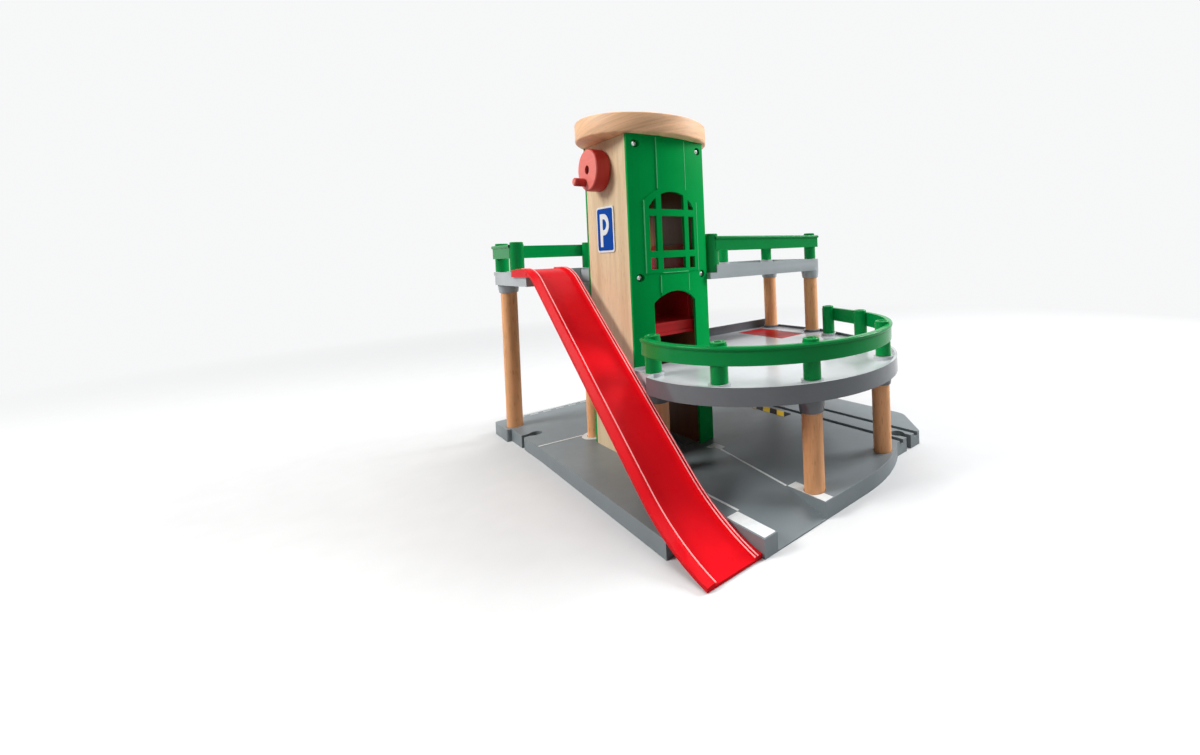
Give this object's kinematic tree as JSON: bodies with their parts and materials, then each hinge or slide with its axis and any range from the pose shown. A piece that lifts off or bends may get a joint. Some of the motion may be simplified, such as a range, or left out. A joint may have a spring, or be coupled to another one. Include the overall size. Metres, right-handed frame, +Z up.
{
  "type": "toy parking garage",
  "caption": "Toy parking garage: round-topped lift tower with crank, middle and upper decks with railings on wooden columns, slide ramp, trapdoor over a train lane.",
  "frame": {"origin": "on the ground under the middle of the lift tower", "axes": "+Z up, +X from the tower towards the train lane, +Y along the lane to the back; the tower's green front and the ramp's foot face -Y, the crank and the sign face -X"},
  "size_m": [0.3122, 0.4084, 0.3198],
  "materials": {
    "base": "satin moulded, blue grey",
    "column_front_left": "clear satin lacquer on beech",
    "column_front_middle": "clear satin lacquer on beech",
    "column_front_right": "clear satin lacquer on beech",
    "column_rear_far_lower": "clear satin lacquer on beech",
    "column_rear_far_upper": "clear satin lacquer on beech",
    "column_rear_near_lower": "clear satin lacquer on beech",
    "column_rear_near_upper": "clear satin lacquer on beech",
    "column_tall_back": "clear satin lacquer on beech",
    "column_tall_left": "clear satin lacquer on beech",
    "column_tall_middle": "clear satin lacquer on beech",
    "crank_peg": "glossy moulded, red",
    "idler_pin": "bright zinc plated",
    "idler_pulley": "glossy moulded, red",
    "knob_axle": "bright zinc plated",
    "knob_wheel": "satin, red",
    "lid_dowel_far_left": "clear satin lacquer on beech",
    "lid_dowel_far_right": "clear satin lacquer on beech",
    "lid_dowel_near_left": "clear satin lacquer on beech",
    "lid_dowel_near_right": "clear satin lacquer on beech",
    "lift_car": "glossy moulded, red",
    "lift_cord": "twisted natural cord",
    "lift_drum": "glossy moulded, red",
    "mid_deck": "satin moulded, blue grey",
    "mid_railing": "glossy moulded, green",
    "parking_sign": "printed blue field with a white letter",
    "screw_back_high_left": "bright zinc plated",
    "screw_back_high_right": "bright zinc plated",
    "screw_back_low_left": "bright zinc plated",
    "screw_back_low_right": "bright zinc plated",
    "screw_front_high_left": "bright zinc plated",
    "screw_front_high_right": "bright zinc plated",
    "screw_front_low_left": "bright zinc plated",
    "screw_front_low_right": "bright zinc plated",
    "slide_ramp": "glossy moulded, red",
    "tower_back_panel": "glossy moulded, green",
    "tower_front_panel": "glossy moulded, green",
    "tower_lid": "clear satin lacquer on beech",
    "tower_side_left": "clear satin lacquer on beech",
    "tower_side_right": "clear satin lacquer on beech",
    "trap_hinge_pin": "bright zinc plated",
    "trap_spring": "bright zinc plated",
    "trapdoor": "glossy moulded, red",
    "upper_deck": "satin moulded, blue grey",
    "upper_railing_back": "glossy moulded, green",
    "upper_railing_right": "glossy moulded, green"
  },
  "bodies": {
    "garage": {"base": "base", "column_front_left": "column_front_left", "column_front_middle": "column_front_middle", "column_front_right": "column_front_right", "column_rear_far_lower": "column_rear_far_lower", "column_rear_far_upper": "column_rear_far_upper", "column_rear_near_lower": "column_rear_near_lower", "column_rear_near_upper": "column_rear_near_upper", "column_tall_back": "column_tall_back", "column_tall_left": "column_tall_left", "column_tall_middle": "column_tall_middle", "idler_pin": "idler_pin", "lid_dowel_far_left": "lid_dowel_far_left", "lid_dowel_far_right": "lid_dowel_far_right", "lid_dowel_near_left": "lid_dowel_near_left", "lid_dowel_near_right": "lid_dowel_near_right", "lift_cord": "lift_cord", "mid_deck": "mid_deck", "mid_railing": "mid_railing", "parking_sign": "parking_sign", "screw_back_high_left": "screw_back_high_left", "screw_back_high_right": "screw_back_high_right", "screw_back_low_left": "screw_back_low_left", "screw_back_low_right": "screw_back_low_right", "screw_front_high_left": "screw_front_high_left", "screw_front_high_right": "screw_front_high_right", "screw_front_low_left": "screw_front_low_left", "screw_front_low_right": "screw_front_low_right", "slide_ramp": "slide_ramp", "tower_back_panel": "tower_back_panel", "tower_front_panel": "tower_front_panel", "tower_lid": "tower_lid", "tower_side_left": "tower_side_left", "tower_side_right": "tower_side_right", "trap_hinge_pin": "trap_hinge_pin", "trap_spring": "trap_spring", "upper_deck": "upper_deck", "upper_railing_back": "upper_railing_back", "upper_railing_right": "upper_railing_right"},
    "crank": {"knob_wheel": "knob_wheel", "crank_peg": "crank_peg", "knob_axle": "knob_axle", "lift_drum": "lift_drum"},
    "idler": {"idler_pulley": "idler_pulley"},
    "car": {"lift_car": "lift_car"},
    "trap": {"trapdoor": "trapdoor"}
  },
  "joints": [
    {"name": "crank_turn", "type": "hinge", "parent": "garage", "child": "crank", "pos_m": [-0.0405, 0.005, 0.275], "axis": [1, 0, 0], "range_deg": [-707, 304]},
    {"name": "idler_turn", "type": "hinge", "parent": "garage", "child": "idler", "pos_m": [-0.0265, 0.005, 0.031], "axis": [1, 0, 0], "range_deg": [-707, 304]},
    {"name": "lift_slide", "type": "slide", "parent": "garage", "child": "car", "axis": [0, 0, 1], "range_m": [-0.1184, 0.0509]},
    {"name": "trap_tilt", "type": "hinge", "parent": "garage", "child": "trap", "pos_m": [0.1615, -0.0375, 0.0904], "axis": [-1, 0, 0], "range_deg": [0, 28], "stiffness_Nm_per_rad": 0.02, "springref_deg": -28.65}
  ],
  "couplings": [
    {"joint": "crank_turn", "follows": "lift_slide", "rad_per_m": 104.17},
    {"joint": "idler_turn", "follows": "lift_slide", "rad_per_m": 104.17}
  ]
}
